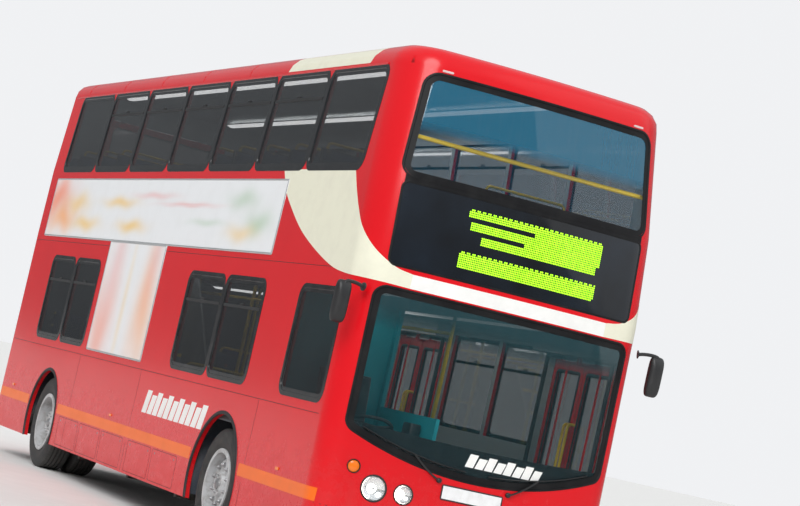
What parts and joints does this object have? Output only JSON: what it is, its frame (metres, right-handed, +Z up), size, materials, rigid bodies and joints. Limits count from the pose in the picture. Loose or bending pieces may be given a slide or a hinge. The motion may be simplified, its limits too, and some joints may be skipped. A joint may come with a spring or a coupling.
{
  "type": "double decker bus",
  "caption": "Low-floor city bus with two passenger decks, a staircase, inward gliding doors at the front and middle, steered front wheels, twin rear wheels and a raised rear engine cover.",
  "frame": {"origin": "on the ground, under the middle of the body's length and width", "axes": "+X to the front of the bus, +Y to the kerb side with the doors, +Z up"},
  "size_m": [10.2, 2.9, 4.3],
  "materials": {
    "body_red": "gloss",
    "side_glass": "gloss",
    "windscreen_glass": "gloss",
    "sign_glass": "gloss",
    "clear_lens": "gloss",
    "red_lens": "gloss",
    "floor_grey": "matte",
    "chassis": "satin",
    "engine_metal": "matte",
    "interior_grey": "satin",
    "dash_black": "matte",
    "seat_shell": "satin",
    "moquette": "matte",
    "driver_fabric": "matte",
    "rail_yellow": "gloss",
    "trim_black": "satin",
    "wheel_grey": "satin",
    "tyre_rubber": "matte"
  },
  "bodies": {
    "bus_body": {"wall_lower_offside": "body_red", "wall_lower_nearside": "body_red", "wall_upper_offside": "body_red", "wall_upper_nearside": "body_red", "roof": "body_red", "front_lower": "body_red", "front_upper": "body_red", "rear_lower": "body_red", "rear_upper": "body_red", "glass_lower": "side_glass", "glass_upper": "side_glass", "windscreen": "windscreen_glass", "front_upper_glass": "windscreen_glass", "sign_panel": "sign_glass", "front_lamps": "clear_lens", "rear_lamps": "red_lens", "lower_floor": "floor_grey", "upper_floor": "floor_grey", "underframe": "chassis", "engine": "engine_metal", "staircase": "interior_grey", "cab_partition": "interior_grey", "dashboard": "dash_black", "seats_upper": "seat_shell", "cushions_upper": "moquette", "seats_lower": "seat_shell", "cushions_lower": "moquette", "driver_seat": "driver_fabric", "handrails": "rail_yellow", "mirrors": "trim_black", "front_axle": "chassis", "rear_axle": "chassis"},
    "knuckle_left": {"knuckle_left": "chassis"},
    "knuckle_right": {"knuckle_right": "chassis"},
    "wheel_front_left": {"wheel_front_left": "wheel_grey", "tyre_front_left": "tyre_rubber"},
    "wheel_rear_left": {"wheel_rear_left": "wheel_grey", "tyres_rear_left": "tyre_rubber"},
    "wheel_front_right": {"wheel_front_right": "wheel_grey", "tyre_front_right": "tyre_rubber"},
    "wheel_rear_right": {"wheel_rear_right": "wheel_grey", "tyres_rear_right": "tyre_rubber"},
    "steering_wheel": {"steering_wheel": "trim_black"},
    "entrance_arm_rear": {"entrance_arm_rear": "trim_black"},
    "entrance_leaf_rear": {"entrance_leaf_rear": "body_red", "entrance_glass_rear": "side_glass"},
    "entrance_arm_front": {"entrance_arm_front": "trim_black"},
    "entrance_leaf_front": {"entrance_leaf_front": "body_red", "entrance_glass_front": "side_glass"},
    "exit_arm_rear": {"exit_arm_rear": "trim_black"},
    "exit_leaf_rear": {"exit_leaf_rear": "body_red", "exit_glass_rear": "side_glass"},
    "exit_arm_front": {"exit_arm_front": "trim_black"},
    "exit_leaf_front": {"exit_leaf_front": "body_red", "exit_glass_front": "side_glass"},
    "cab_door": {"cab_door": "interior_grey"},
    "engine_cover": {"engine_cover": "body_red"},
    "emergency_window": {"emergency_window": "side_glass"}
  },
  "joints": [
    {"name": "steer_left", "type": "hinge", "parent": "bus_body", "child": "knuckle_left", "pos_m": [2.6, 0.95, 0.4785], "axis": [0, 0, 1], "range_deg": [-40, 40]},
    {"name": "spin_front_left", "type": "hinge", "parent": "knuckle_left", "child": "wheel_front_left", "pos_m": [2.6, 1.06, 0.4785], "axis": [0, 1, 0], "continuous": true},
    {"name": "spin_rear_left", "type": "hinge", "parent": "bus_body", "child": "wheel_rear_left", "pos_m": [-3.1, 0.91, 0.4785], "axis": [0, 1, 0], "continuous": true},
    {"name": "steer_right", "type": "hinge", "parent": "bus_body", "child": "knuckle_right", "pos_m": [2.6, -0.95, 0.4785], "axis": [0, 0, 1], "range_deg": [-40, 40]},
    {"name": "spin_front_right", "type": "hinge", "parent": "knuckle_right", "child": "wheel_front_right", "pos_m": [2.6, -1.06, 0.4785], "axis": [0, 1, 0], "continuous": true},
    {"name": "spin_rear_right", "type": "hinge", "parent": "bus_body", "child": "wheel_rear_right", "pos_m": [-3.1, -0.91, 0.4785], "axis": [0, 1, 0], "continuous": true},
    {"name": "steering_wheel_turn", "type": "hinge", "parent": "bus_body", "child": "steering_wheel", "pos_m": [4.47, -0.76, 1.23], "axis": [-0.4229, 0, 0.9062], "range_deg": [-650, 650]},
    {"name": "entrance_arm_rear_turn", "type": "hinge", "parent": "bus_body", "child": "entrance_arm_rear", "pos_m": [3.54, 1.1455, 1.2], "axis": [0, 0, -1], "range_deg": [0, 75]},
    {"name": "entrance_leaf_rear_turn", "type": "hinge", "parent": "entrance_arm_rear", "child": "entrance_leaf_rear", "pos_m": [3.823, 1.1455, 1.2], "axis": [0, 0, 1], "range_deg": [0, 150]},
    {"name": "entrance_arm_front_turn", "type": "hinge", "parent": "bus_body", "child": "entrance_arm_front", "pos_m": [4.72, 1.1455, 1.2], "axis": [0, 0, 1], "range_deg": [0, 75]},
    {"name": "entrance_leaf_front_turn", "type": "hinge", "parent": "entrance_arm_front", "child": "entrance_leaf_front", "pos_m": [4.437, 1.1455, 1.2], "axis": [0, 0, -1], "range_deg": [0, 150]},
    {"name": "exit_arm_rear_turn", "type": "hinge", "parent": "bus_body", "child": "exit_arm_rear", "pos_m": [0.14, 1.1455, 1.2], "axis": [0, 0, -1], "range_deg": [0, 75]},
    {"name": "exit_leaf_rear_turn", "type": "hinge", "parent": "exit_arm_rear", "child": "exit_leaf_rear", "pos_m": [0.423, 1.1455, 1.2], "axis": [0, 0, 1], "range_deg": [0, 150]},
    {"name": "exit_arm_front_turn", "type": "hinge", "parent": "bus_body", "child": "exit_arm_front", "pos_m": [1.32, 1.1455, 1.2], "axis": [0, 0, 1], "range_deg": [0, 75]},
    {"name": "exit_leaf_front_turn", "type": "hinge", "parent": "exit_arm_front", "child": "exit_leaf_front", "pos_m": [1.037, 1.1455, 1.2], "axis": [0, 0, -1], "range_deg": [0, 150]},
    {"name": "cab_door_hinge", "type": "hinge", "parent": "bus_body", "child": "cab_door", "pos_m": [3.703, -0.291, 1], "axis": [0, 0, 1], "range_deg": [0, 100]},
    {"name": "engine_cover_hinge", "type": "hinge", "parent": "bus_body", "child": "engine_cover", "pos_m": [-5.091, 0, 1.638], "axis": [0, 1, 0], "range_deg": [0, 80]},
    {"name": "emergency_window_hinge", "type": "hinge", "parent": "bus_body", "child": "emergency_window", "pos_m": [-5.091, 0, 3.938], "axis": [0, 1, 0], "range_deg": [0, 75]}
  ],
  "couplings": [
    {"joint": "steer_right", "follows": "steer_left", "ratio": 1},
    {"joint": "steering_wheel_turn", "follows": "steer_left", "ratio": 16},
    {"joint": "entrance_leaf_rear_turn", "follows": "entrance_arm_rear_turn", "ratio": 2},
    {"joint": "entrance_arm_front_turn", "follows": "entrance_arm_rear_turn", "ratio": 1},
    {"joint": "entrance_leaf_front_turn", "follows": "entrance_arm_rear_turn", "ratio": 2},
    {"joint": "exit_leaf_rear_turn", "follows": "exit_arm_rear_turn", "ratio": 2},
    {"joint": "exit_arm_front_turn", "follows": "exit_arm_rear_turn", "ratio": 1},
    {"joint": "exit_leaf_front_turn", "follows": "exit_arm_rear_turn", "ratio": 2}
  ]
}
